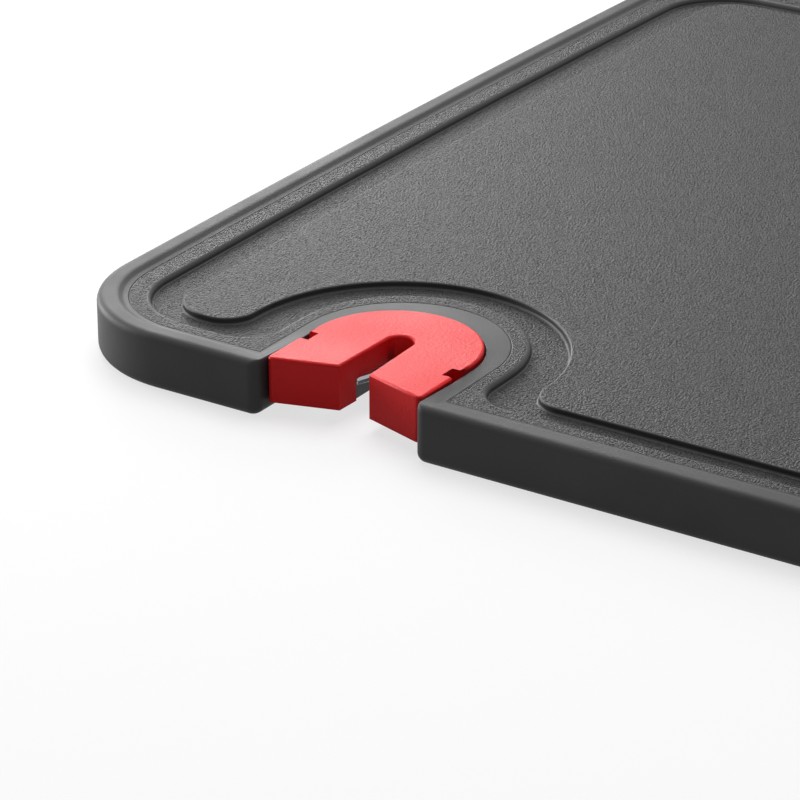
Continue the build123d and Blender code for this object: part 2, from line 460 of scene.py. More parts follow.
def end_tree(tree: NodeTree, shape: Node, finish: NodeSocket) -> None:
    """Ends a Geometry Nodes tree with real, smooth faces in their finish.

    Args:
        tree: The tree.
        shape: The node whose geometry it gives.
        finish: The output that gives the material.
    """
    smooth = add_node(tree, "GeometryNodeSetShadeSmooth", {"Geometry": shape})
    real = add_node(tree, "GeometryNodeRealizeInstances", {"Geometry": smooth})
    dressed = add_node(tree, "GeometryNodeSetMaterial", {"Geometry": real, "Material": finish})
    add_node(tree, "NodeGroupOutput", {0: dressed})


def round_corners(tree: NodeTree, lines: NodeSocket, steps: NodeSocket) -> Node:
    """Adds the nodes that round each corner of some lines by the radius that its point holds.

    Args:
        tree: The tree.
        lines: The output that gives the lines.
        steps: The output that gives the steps in each corner.

    Returns:
        The node that gives the rounded lines.
    """
    radius = add_node(tree, "GeometryNodeInputNamedAttribute", {"Name": "radius"}, data_type="FLOAT")
    return add_node(tree, "GeometryNodeFilletCurve", {
        "Curve": lines, "Count": steps, "Radius": radius, "Limit Radius": False,
    }, mode="POLY")


def rows_and_columns(tree: NodeTree, columns: Node) -> tuple[Node, Node]:
    """Adds the nodes that split the numbers of a grid's points into rows and columns.

    Args:
        tree: The tree.
        columns: The node that gives how many columns the grid has.

    Returns:
        The node that gives each point's row, and the one that gives its column.
    """
    index = add_node(tree, "GeometryNodeInputIndex")
    rows_before = add_node(tree, MATHS, {0: index, 1: columns}, operation="DIVIDE")
    row = add_node(tree, MATHS, {0: rows_before}, operation="FLOOR")
    return row, add_node(tree, MATHS, {0: index, 1: columns}, operation="MODULO")


def place_on(tree: NodeTree, lines: Node, number: Node) -> Node:
    """Adds the nodes that give the place of one of the points on some lines.

    Args:
        tree: The tree.
        lines: The node that gives the lines.
        number: The node that gives the point's number.

    Returns:
        The node that gives the place.
    """
    place = add_node(tree, "GeometryNodeInputPosition")
    return add_node(tree, "GeometryNodeSampleIndex", {
        "Geometry": lines, "Value": place, "Index": number,
    }, data_type="FLOAT_VECTOR", domain="POINT")


def evaluated_piece(carrier: Object, tree: NodeTree, values: Mapping[str, Any]) -> Object:
    """Runs a node tree on an object and keeps the result as a plain mesh.

    Args:
        carrier: The object that the tree works on. It is removed.
        tree: The node tree.
        values: The tree's inputs by name.

    Returns:
        The new piece, which takes the carrier's name and has its place in its mesh.
    """
    name = carrier.name
    modifier = carrier.modifiers.new(tree.name, "NODES")
    modifier.node_group = tree
    for item in tree.interface.items_tree:
        if item.item_type == "SOCKET" and item.in_out == "INPUT" and item.name in values:
            modifier[item.identifier] = values[item.name]
    depsgraph = bpy.context.evaluated_depsgraph_get()
    mesh = bpy.data.meshes.new_from_object(carrier.evaluated_get(depsgraph))
    carrier.modifiers.remove(modifier)
    bpy.data.objects.remove(carrier)
    mesh.name = name
    return new_object(name, mesh)


def shell_piece(name: str, shell: bmesh.types.BMesh, finish: Material) -> Object:
    """Turns an edited mesh into a piece in its finish, and frees it.

    Args:
        name: The new piece's name.
        shell: The edited mesh.
        finish: Its material.

    Returns:
        The piece.
    """
    mesh = bpy.data.meshes.new(name)
    shell.to_mesh(mesh)
    shell.free()
    mesh.materials.clear()
    mesh.materials.append(finish)
    return new_object(name, mesh)


def copied_piece(node: str, name: str, finish: Material) -> Object:
    """Makes a piece from a CAD node's shape, with its triangles joined into whole faces.

    Args:
        node: The CAD node.
        name: The new piece's name.
        finish: Its material.

    Returns:
        The piece.
    """
    shell = bmesh.new()
    shell.from_mesh(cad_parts[node].data)
    bmesh.ops.remove_doubles(shell, verts=shell.verts, dist=SHARP * MM)
    bmesh.ops.dissolve_limit(shell, angle_limit=FLAT, verts=shell.verts, edges=shell.edges)
    return shell_piece(name, shell, finish)


def soften(piece: Object, crease: float) -> None:
    """Shades a piece smooth up to a crease angle, with its large faces kept flat.

    Args:
        piece: The piece.
        crease: Angle between two faces above which their edge stays sharp.
    """
    piece.data.shade_smooth()
    piece.data.set_sharp_from_angle(angle=crease)
    modifier = piece.modifiers.new("flat_faces_first", "WEIGHTED_NORMAL")
    modifier.keep_sharp = True
    modifier.weight = LARGE_FACE_WEIGHT
    depsgraph = bpy.context.evaluated_depsgraph_get()
    mesh = bpy.data.meshes.new_from_object(piece.evaluated_get(depsgraph))
    piece.modifiers.remove(modifier)
    old = piece.data
    piece.data = mesh
    mesh.name = piece.name
    bpy.data.meshes.remove(old)


def check_outside(piece: Object) -> None:
    """Reports a piece, and stops if its faces point inwards.

    Args:
        piece: The piece, whose mesh should be closed.
    """
    shell = bmesh.new()
    shell.from_mesh(piece.data)
    open_edges = sum(1 for edge in shell.edges if not edge.is_manifold)
    volume = shell.calc_volume(signed=True) / MM**3
    faces = len(shell.faces)
    shell.free()
    LOG.info("%s: %d faces, %.0f mm3, %d open edges", piece.name, faces, volume, open_edges)
    if volume <= 0:
        raise ValueError(f"{piece.name} is inside out")


def hand_over(piece: Object, body: Body, slot: str, *nodes: str, crease: float = CREASE) -> None:
    """Softens and checks a piece, hides the CAD nodes that it replaces, and puts it on its body.

    Args:
        piece: The piece.
        body: The body that it rides on.
        slot: The record's material slot. It is not used.
        *nodes: The CAD nodes that it replaces.
        crease: Angle between two faces above which their edge stays sharp.
    """
    soften(piece, crease)
    check_outside(piece)
    if nodes:
        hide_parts(*nodes)
    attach(piece, body.value)


# ---- Rings: the closed lines round the board that its skins are laid over ----


@dataclass(frozen=True)
class Corner:
    """A corner of a ring: where it is, and the radius that rounds it, in millimetres."""

    x: float
    y: float
    z: float
    radius: float = 0.0


@dataclass(frozen=True)
class Dip:
    """How a ring comes down from the front edge into the notch. Sizes in millimetres.

    Attributes:
        mouth_height: Its height at the two corners where the notch opens.
        notch_height: Its height further in.
        beside: How far beside the notch it starts to change.
        behind: How far behind the front edge the notch's height is reached.
    """

    mouth_height: float
    notch_height: float
    beside: float
    behind: float


@dataclass(frozen=True)
class Ring:
    """A closed line round the board that also goes round the notch. Sizes in millimetres.

    Attributes:
        side: How far it lies in from the long sides.
        end: How far it lies in from the short ends.
        corner: Radius at the board's four corners.
        notch: Half width of its U round the notch.
        centre: Place of the U's arc behind the front edge.
        mouth: Radius at the two corners where the U meets the front.
        height: Height above the worktop.
        dip: How it changes its height at the notch, if it does.
    """

    side: float
    end: float
    corner: float
    notch: float
    centre: float
    mouth: float
    height: float
    dip: Dip | None = None

    def inward(self, distance: float, height: float) -> "Ring":
        """Gives this ring moved in towards the plate's middle, at another height.

        Args:
            distance: How far it moves, in millimetres. A negative distance moves it outward.
            height: Its new height.

        Returns:
            The moved ring.
        """
        return Ring(
            self.side + distance, self.end + distance, max(self.corner - distance, SHARP),
            self.notch + distance, self.centre, max(self.mouth - distance, SHARP), height,
        )


def rounding(radius: float, steps: int) -> Iterator[tuple[float, float]]:
    """Walks a quarter circle from one side of a square corner to the other.

    Args:
        radius: The circle's radius.
        steps: How many steps it takes.

    Yields:
        For each point, how far it still lies from the corner along the first side, and how far it
        has gone along the second.
    """
    for i in range(steps + 1):
        angle = QUARTER_TURN * i / steps
        yield radius * (1 - math.sin(angle)), radius * (1 - math.cos(angle))


@dataclass(frozen=True)
class BoardPlan:
    """The board's outline, its notch, and the sizes that rim and plate share, in millimetres."""

    length: float
    width: float
    thickness: float
    plate_bottom: float
    plate_top: float
    notch_x: float
    corner_radius: float = 20.8
    rim_width: float = 4.8
    seam_rounding: float = 0.15         # on both sides of the line where rim and plate meet
    notch_half_width: float = 13.6
    notch_centre: float = 15.9          # behind the front edge
    lining_width: float = 2.6
    lining_setback: float = 2.3         # from the notch's centre to the lining's
    tongue_reach: float = 2.2           # of the plate's tongue into the rim
    tongue_low: float = 3.8
    tongue_high: float = 5.4
    end_crown: float = 1.2              # how far the short ends swell at their middle
    crown_points: int = 7
    crown_reach: float = 75.0           # from the middle of an end to the last of those points

    @classmethod
    def from_frame(cls) -> "BoardPlan":
        """Reads the outline, the heights and the notch's place from the frame.

        Returns:
            The plan.
        """
        low, high = box_mm("soft_rim")
        plate_low, plate_high = box_mm("cutting_plate")
        housing_low, housing_high = box_mm("sharpener_housing")
        return cls(
            length=high.x - low.x, width=high.y - low.y, thickness=high.z - low.z,
            plate_bottom=plate_low.z, plate_top=plate_high.z,
            notch_x=(housing_low.x + housing_high.x) / 2,
        )

    @property
    def front(self) -> float:
        """Place of the front edge."""
        return -self.width / 2

    def corners(self, ring: Ring) -> list[Corner]:
        """Lists a ring's corners, counter-clockwise from the front left one.

        Args:
            ring: The ring.

        Returns:
            As many corners for every ring, so that rings can be joined corner by corner.
        """
        half_width = self.width / 2 - ring.side
        half_length = self.length / 2 - ring.end
        corner_x = half_length - self.end_crown
        crown_radius = (half_width**2 + self.end_crown**2) / (2 * self.end_crown)
        front_y = -half_width
        rear_y = self.front + ring.centre + ring.notch
        left_x = self.notch_x - ring.notch
        high, dip = ring.height, ring.dip
        mouth = Corner(left_x, front_y, dip.mouth_height if dip else high, ring.mouth)
        rear = Corner(left_x, rear_y, dip.notch_height if dip else high, ring.notch)
        left = [mouth, rear]
        if dip:
            beside = Corner(left_x - dip.beside, front_y, high)
            behind = Corner(left_x, self.front + dip.behind, dip.notch_height)
            left = [beside, mouth, behind, rear]
        right = [replace(corner, x=2 * self.notch_x - corner.x) for corner in reversed(left)]
        steps = self.crown_points - 1
        crown = [
            (half_length - crown_radius + math.sqrt(crown_radius**2 - y**2), y)
            for y in (self.crown_reach * (2 * i / steps - 1) for i in range(self.crown_points))
        ]
        return [
            Corner(-corner_x, front_y, high, ring.corner),
            *left, *right,
            Corner(corner_x, front_y, high, ring.corner),
            *(Corner(x, y, high) for x, y in crown),
            Corner(corner_x, half_width, high, ring.corner),
            Corner(-corner_x, half_width, high, ring.corner),
            *(Corner(-x, -y, high) for x, y in crown),
        ]


class RingSkin:
    """A node tree that rounds the corners of a stack of rings and lays one skin over them."""

    def __init__(self, plan: BoardPlan) -> None:
        """Builds the tree.

        Args:
            plan: The board's plan, which places the rings' corners.
        """
        self.plan = plan
        self.tree, given = start_tree("ring_skin", {
            "Rings": "Geometry", "Corner Steps": "Int", "Weld Distance": "Float",
            "Close Ends": "Bool", "Finish": "Material",
        }, "Skin")
        tree = self.tree
        rings = round_corners(tree, given["Rings"], given["Corner Steps"])
        counts = add_node(tree, "GeometryNodeAttributeDomainSize", {0: rings}, component="CURVE")
        rows = counts.outputs["Spline Count"]
        around = add_node(tree, MATHS, {0: counts.outputs["Point Count"], 1: rows}, operation="DIVIDE")
        columns = add_node(tree, MATHS, {0: around, 1: 1.0}, operation="ADD")
        row, column = rows_and_columns(tree, columns)
        wrapped = add_node(tree, MATHS, {0: column, 1: around}, operation="MODULO")
        source = add_node(tree, MATHS, {0: row, 1: around, 2: wrapped}, operation="MULTIPLY_ADD")
        grid = add_node(tree, "GeometryNodeMeshGrid", {"Vertices X": rows, "Vertices Y": columns})
        laid = add_node(tree, "GeometryNodeSetPosition", {
            "Geometry": grid, "Position": place_on(tree, rings, source),
        })
        last_row = add_node(tree, MATHS, {0: rows, 1: -1.0}, operation="ADD")
        first_end = self._end(rings, 0, around)
        last_end = add_node(tree, "GeometryNodeFlipFaces", {"Mesh": self._end(rings, last_row, around)})
        ends = add_node(tree, "GeometryNodeJoinGeometry", {0: [first_end, last_end]})
        closed = add_node(tree, "GeometryNodeSwitch", {
            "Switch": given["Close Ends"], "True": ends,
        }, input_type="GEOMETRY")
        whole = add_node(tree, "GeometryNodeJoinGeometry", {0: [laid, closed]})
        welded = add_node(tree, "GeometryNodeMergeByDistance", {
            "Geometry": whole, "Distance": given["Weld Distance"],
        })
        end_tree(tree, welded, given["Finish"])

    def _end(self, rings: Node, row: Any, around: Node) -> Node:
        """Adds the nodes that fill one ring with a flat face.

        Args:
            rings: The rounded rings.
            row: Which ring is filled, as a number or a node that gives it.
            around: The node that gives the points in a ring.

        Returns:
            The node that gives the filled ring.
        """
        tree = self.tree
        index = add_node(tree, "GeometryNodeInputIndex")
        wanted = add_node(tree, MATHS, {0: index, 1: row, 2: 0.5}, operation="COMPARE")
        ring = add_node(tree, "GeometryNodeSeparateGeometry", {
            "Geometry": rings, "Selection": wanted,
        }, domain="CURVE")
        flat = add_node(tree, "GeometryNodeFillCurve", {"Curve": ring})
        first_point = add_node(tree, MATHS, {0: row, 1: around}, operation="MULTIPLY")
        on_ring = place_on(tree, rings, first_point)
        height = add_node(tree, "ShaderNodeSeparateXYZ", {0: on_ring}).outputs["Z"]
        lift = add_node(tree, "ShaderNodeCombineXYZ", {"Z": height})
        return add_node(tree, "GeometryNodeSetPosition", {"Geometry": flat, "Offset": lift})

    def lay(
        self, name: str, rings: list[Ring], finish: Material, caps: Caps, corner_steps: int = 20
    ) -> Object:
        """Lays a skin over a stack of rings.

        Args:
            name: The piece's name.
            rings: The rings in order, so that the skin's outside lies to their right.
            finish: The piece's material.
            caps: Whether the first and last ring are filled.
            corner_steps: Steps that round each corner.

        Returns:
            The piece, as a plain mesh object.
        """
        lines = [
            [((c.x * MM, c.y * MM, c.z * MM), c.radius * MM) for c in self.plan.corners(ring)]
            for ring in rings
        ]
        return evaluated_piece(polylines(name, lines, closed=True), self.tree, {
            "Corner Steps": corner_steps, "Weld Distance": WELD * MM,
            "Close Ends": caps is Caps.BOTH, "Finish": finish,
        })


# ---- The board ----


@dataclass(frozen=True)
class SoftRim:
    """The elastomer rim, moulded round the plate and through the notch. Sizes in millimetres."""

    plan: BoardPlan
    finish: Material
    ledge: float = 0.8              # level strip between the plate and the rim's inner slope
    slope_run: float = 1.1
    top_rounding: float = 1.2
    bottom_rounding: float = 1.5
    inner_foot_rounding: float = 0.3
    flat_margin: float = 0.2        # keeps the flats level right up to a rounding
    notch_mouth: float = 1.8
    lining_rise: float = 0.12       # the lining rises this much from the plate to the notch
    lining_rounding: float = 0.22
    dip_beside: float = 12.0        # the rim starts to come down this far beside the notch
    dip_behind: float = 11.0        # and is down at the lining this far behind the front edge

    def ring(
        self, inset: float, height: float, lining_inset: float, lining_height: float,
        mouth_height: float | None = None,
    ) -> Ring:
        """Gives one of the rim's rings.

        Args:
            inset: How far it lies in from the board's edge.
            height: Its height round the board.
            lining_inset: How far it lies out from the notch's wall.
            lining_height: Its height in the notch.
            mouth_height: Its height at the notch's mouth, where that isn't the height of the rest.

        Returns:
            The ring.
        """
        plan = self.plan
        along = max(lining_inset - self.top_rounding, 0.0) / (plan.lining_width - self.top_rounding)
        at_mouth = height if mouth_height is None else mouth_height
        return Ring(
            side=inset, end=inset, corner=plan.corner_radius - inset,
            notch=plan.notch_half_width + lining_inset,
            centre=plan.notch_centre + plan.lining_setback * along,
            mouth=max(self.notch_mouth - inset, SHARP), height=height,
            dip=Dip(at_mouth, lining_height, self.dip_beside, self.dip_behind),
        )

    def inner_wall(self, inward: float, height: float) -> Ring:
        """Gives a ring off the wall against the plate, moved into the rim, level all round."""
        plan = self.plan
        return self.ring(plan.rim_width - inward, height, plan.lining_width - inward, height)

    def seam(self) -> list[Ring]:
        """Lists the rings where the rim meets the plate's top.

        Returns:
            The rings in order, from the plate outward.
        """
        seam, level = self.plan.seam_rounding, self.plan.plate_top
        return [
            self.inner_wall(0.0, level - 2 * seam),
            *(self.inner_wall(inward, level - down) for down, inward in rounding(seam, 3)),
        ]

    def crest(self) -> list[Ring]:
        """Lists the rings up the inner slope and over the flat top, to where the top rounds off.

        Returns:
            The rings in order, from the plate outward.
        """
        plan = self.plan
        foot = plan.rim_width - self.ledge
        head = foot - self.slope_run
        # Inset and share of the rise: a hollow foot, a straight slope, a rounded head, the flat top
        across = [
            (foot + 0.62, 0.0), (foot + 0.4, 0.035), (foot + 0.15, 0.1), (foot - 0.05, 0.18),
            (foot - 0.2, 0.29), (foot - 0.62, 0.73),
            (head + 0.28, 0.87), (head + 0.08, 0.95), (head - 0.12, 0.985), (head - 0.3, 1.0),
            (2.2, 1.0), (1.7, 1.0), (self.top_rounding + 0.1, 1.0),
        ]
        start = plan.rim_width - plan.seam_rounding
        lining_start = plan.lining_width - plan.seam_rounding
        rise = plan.thickness - plan.plate_top
        rings = []
        for inset, share_up in across:
            share = (start - inset) / (start - self.top_rounding)
            ease = share * share * (3 - 2 * share)
            rings.append(self.ring(
                inset, plan.plate_top + rise * share_up,
                lining_start + (self.lining_rounding - lining_start) * share,
                plan.plate_top + self.lining_rise * share, plan.plate_top + rise * ease,
            ))
        return rings

    def outside(self) -> list[Ring]:
        """Lists the rings over the top's rounding, down the wall and under the rim.

        Returns:
            The rings in order, from the top to the inner foot.
        """
        plan, foot, flat = self.plan, self.inner_foot_rounding, self.flat_margin
        lining_top = plan.plate_top + self.lining_rise
        wall_end = self.bottom_rounding + flat
        edge = zip(rounding(self.top_rounding, 8), rounding(self.lining_rounding, 8))
        return [
            *(
                self.ring(out, plan.thickness - down, lining_out, lining_top - lining_down)
                for (out, down), (lining_out, lining_down) in edge
            ),
            self.ring(0.0, wall_end, 0.0, wall_end),
            *(self.ring(inward, up, inward, up) for up, inward in rounding(self.bottom_rounding, 7)),
            self.inner_wall(foot + flat, 0.0),
            *(self.inner_wall(inward, up) for inward, up in rounding(foot, 4)),
        ]

    def profile(self) -> list[Ring]:
        """Lists the rings from the seam over the top, down the wall and back inside.

        Returns:
            The rings in order, with the first one again at the end.
        """
        plan = self.plan
        tongue = plan.rim_width - plan.tongue_reach
        rings = [
            self.inner_wall(0.0, plan.tongue_high),
            *self.seam(), *self.crest(), *self.outside(),
            self.inner_wall(0.0, plan.tongue_low),
            self.ring(tongue, plan.tongue_low, plan.lining_width, plan.tongue_low),
            self.ring(tongue, plan.tongue_high, plan.lining_width, plan.tongue_high),
        ]
        return rings + rings[:1]

    def build(self, skin: RingSkin) -> None:
        """Builds the rim with the node tree that lays skins over rings."""
        piece = skin.lay("soft_rim_moulding", self.profile(), self.finish, Caps.NONE)
        hand_over(piece, Body.BOARD, "rim_elastomer", "soft_rim")


@dataclass(frozen=True)
class CuttingPlate:
    """The rigid plate with its juice groove. Sizes in millimetres."""

    plan: BoardPlan
    finish: Material
    edge_mouth: float = 0.12            # radius where the plate's edge turns into the notch
    margin_side: float = 2.8            # width outside the groove, along the long sides
    margin_end: float = 3.7             # the same along the short ends
    margin_notch: float = 2.5           # and round the notch
    groove_side: float = 3.9
    groove_end: float = 6.0
    groove_notch: float = 6.7
    groove_setback: float = 3.1         # from the notch's centre to that of the groove's outer edge
    groove_corner: float = 13.0
    groove_mouth: float = 6.0
    groove_depth: float = 1.15
    plateau_setback: float = 1.3        # from the notch's centre to the plateau's
    plateau_corner: float = 6.8
    plateau_mouth: float = 5.0
    plateau_flat: float = 1.5           # this far inside its edge the plateau is one flat face
    lip_rounding: float = 0.9
    foot_rounding: float = 0.25
    plateau_rounding: float = 0.3
    plateau_foot_rounding: float = 0.4
    flat_margin: float = 0.12           # keeps the flats level right up to a rounding

    @property
    def edge(self) -> Ring:
        """The plate's edge, against the rim and the lining."""
        plan = self.plan
        return Ring(
            side=plan.rim_width, end=plan.rim_width, corner=plan.corner_radius - plan.rim_width,
            notch=plan.notch_half_width + plan.lining_width,
            centre=plan.notch_centre + plan.lining_setback, mouth=self.edge_mouth,
            height=plan.plate_top,
        )

    @property
    def groove(self) -> Ring:
        """The outer edge of the juice groove."""
        edge = self.edge
        return Ring(
            side=edge.side + self.margin_side, end=edge.end + self.margin_end,
            corner=self.groove_corner, notch=edge.notch + self.margin_notch,
            centre=self.plan.notch_centre + self.groove_setback, mouth=self.groove_mouth,
            height=edge.height,
        )

    @property
    def plateau(self) -> Ring:
        """The inner edge of the juice groove."""
        groove = self.groove
        return Ring(
            side=groove.side + self.groove_side, end=groove.end + self.groove_end,
            corner=self.plateau_corner, notch=groove.notch + self.groove_notch,
            centre=self.plan.notch_centre + self.plateau_setback, mouth=self.plateau_mouth,
            height=groove.height,
        )

    def tongue_ring(self, height: float) -> Ring:
        """Gives a ring of the tongue, which reaches into the rim but not into the notch."""
        out = self.edge.inward(-self.plan.tongue_reach, height)
        return replace(self.edge, side=out.side, end=out.end, corner=out.corner, height=height)

    def profile(self) -> list[Ring]:
        """Lists the rings from the plateau out over the groove and down to the underside.

        Returns:
            The rings in order.
        """
        plan, top, bottom = self.plan, self.plan.plate_top, self.plan.plate_bottom
        seam, lip, foot = plan.seam_rounding, self.lip_rounding, self.foot_rounding
        crisp, wide, margin = self.plateau_rounding, self.plateau_foot_rounding, self.flat_margin
        floor = top - self.groove_depth
        edge, groove, plateau = self.edge, self.groove, self.plateau
        rings = [edge.inward(seam + margin, bottom)]
        rings += [edge.inward(inward, bottom + up) for inward, up in rounding(seam, 3)]
        rings += [edge.inward(0.0, plan.tongue_low), self.tongue_ring(plan.tongue_low)]
        rings += [self.tongue_ring(plan.tongue_high), edge.inward(0.0, plan.tongue_high)]
        rings += [edge.inward(inward, top - down) for down, inward in rounding(seam, 3)]
        rings += [edge.inward(seam + margin, top), groove.inward(-lip - margin, top)]
        rings += [groove.inward(-out, top - down) for out, down in rounding(lip, 7)]
        rings += [groove.inward(inward, floor + up) for up, inward in rounding(foot, 4)]
        rings += [groove.inward(foot + margin, floor), plateau.inward(-wide - margin, floor)]
        rings += [plateau.inward(-out, floor + up) for out, up in rounding(wide, 6)]
        rings += [plateau.inward(inward, top - down) for down, inward in rounding(crisp, 4)]
        rings += [plateau.inward(crisp + margin, top), plateau.inward(self.plateau_flat, top)]
        return rings[::-1]

    def build(self, skin: RingSkin) -> None:
        """Builds the plate with the node tree that lays skins over rings."""
        piece = skin.lay("cutting_plate_moulding", self.profile(), self.finish, Caps.BOTH)
        hand_over(piece, Body.BOARD, "plate_plastic", "cutting_plate")


@dataclass(frozen=True)
class SharpenerRail:
    """The plate's rail, which comes through the lining and guides the sharpener. In millimetres."""

    plan: BoardPlan
    finish: Material
    reach: float = 1.2                  # from the notch's wall into the notch
    bar_width: float = 2.6
    start: float = 8.0                  # behind the front edge
    edge_rounding: float = 0.2
    corner_steps: int = 32

    def _tree(self) -> NodeTree:
        """Builds the node tree that sweeps a bar with rounded edges along a path.

        Returns:
            The tree.
        """
        tree, given = start_tree("swept_bar", {
            "Path": "Geometry", "Corner Steps": "Int", "Bar Width": "Float", "Bar Height": "Float",
            "Edge Rounding": "Float", "Finish": "Material",
        }, "Bar")
        path = round_corners(tree, given["Path"], given["Corner Steps"])
        even = add_node(tree, "GeometryNodeSetCurveRadius", {"Curve": path, "Radius": 1.0})
        level = add_node(tree, "GeometryNodeSetCurveNormal", {"Curve": even}, mode="Z_UP")
        block = add_node(tree, "GeometryNodeCurvePrimitiveQuadrilateral", {
            "Width": given["Bar Width"], "Height": given["Bar Height"],
        }, mode="RECTANGLE")
        section = add_node(tree, "GeometryNodeFilletCurve", {
            "Curve": block, "Count": 5, "Radius": given["Edge Rounding"],
        }, mode="POLY")
        bar = add_node(tree, "GeometryNodeCurveToMesh", {
            "Curve": level, "Profile Curve": section, "Fill Caps": True,
        })
        end_tree(tree, bar, given["Finish"])
        return tree

    def build(self) -> None:
        """Builds the rail."""
        plan = self.plan
        half_width = plan.notch_half_width - self.reach + self.bar_width / 2
        front = plan.front + self.start
        rear = plan.front + plan.notch_centre + half_width
        height = (plan.tongue_low + plan.tongue_high) / 2
        arc = half_width - SHARP
        path = [
            (Vector((plan.notch_x + side * half_width, y, height)) * MM, radius * MM)
            for side, y, radius in ((-1, front, 0.0), (-1, rear, arc), (1, rear, arc), (1, front, 0.0))
        ]
        piece = evaluated_piece(polylines("sharpener_rail_bar", [path]), self._tree(), {
            "Corner Steps": self.corner_steps, "Bar Width": self.bar_width * MM,
            "Bar Height": (plan.tongue_high - plan.tongue_low) * MM,
            "Edge Rounding": self.edge_rounding * MM, "Finish": self.finish,
        })
        hand_over(piece, Body.BOARD, "plate_plastic")


# ---- The sharpener ----


@dataclass(frozen=True)
class GroundBlade:
    """A carbide blade, with a bevel ground along its inner edge. Sizes in millimetres."""

    node: str
    name: str
    finish: Material
    toward: float                       # the slot's middle plane on X, which the ground edge looks to
    bevel_run: float = 0.42             # width of the ground bevel
    bevel_rise: float = 0.34            # how far the bevel takes each face down
    chamfer: float = 0.12               # on all the other edges
    crease: float = math.radians(12)

    def _axes(self) -> tuple[Vector, Vector, Vector, float]:
        """Finds the blade's box from its CAD node.

        Returns:
            Its middle underneath, its full length and its full width as vectors along and across
            it, and its thickness.
        """
        points = [v.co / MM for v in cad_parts[self.node].data.vertices]
        low = min(p.z for p in points)
        high = max(p.z for p in points)
        floor = [p for p in points if p.z < low + WELD]
        start = min(floor, key=lambda p: p.y)
        spots = {tuple(round(c, 3) for c in p) for p in floor}
        _, side, end, far = sorted((Vector(spot) for spot in spots), key=lambda p: (p - start).length)
        return (start + far) / 2, end - start, side - start, high - low

    def build(self) -> None:
        """Builds the blade."""
        middle, along, across, thickness = self._axes()
        if (self.toward - middle.x) * across.x < 0:
            across = -across
        half, flat = across.length / 2, self.chamfer
        section = [
            (-half + flat, 0.0), (half - self.bevel_run, 0.0), (half, self.bevel_rise),
            (half, thickness - self.bevel_rise), (half - self.bevel_run, thickness),
            (-half + flat, thickness), (-half, thickness - flat), (-half, flat),
        ]
        past_chamfer = 0.5 - flat / along.length
        shell = bmesh.new()
        rows = []
        for place, shrink in ((-0.5, flat), (-past_chamfer, 0.0), (past_chamfer, 0.0), (0.5, flat)):
            narrow = 1 - 2 * shrink / across.length
            low = 1 - 2 * shrink / thickness
            rows.append([
                shell.verts.new(MM * (
                    middle + along * place + across.normalized() * w * narrow
                    + Vector((0.0, 0.0, thickness / 2 + (z - thickness / 2) * low))
                ))
                for w, z in section
            ])
        for first, second in zip(rows, rows[1:]):
            for i, corner in enumerate(first):
                shell.faces.new((corner, first[i - 1], second[i - 1], second[i]))
        shell.faces.new(rows[0])
        shell.faces.new(rows[-1])
        bmesh.ops.recalc_face_normals(shell, faces=shell.faces)
        piece = shell_piece(self.name, shell, self.finish)
        hand_over(piece, Body.SHARPENER, "carbide", self.node, crease=self.crease)


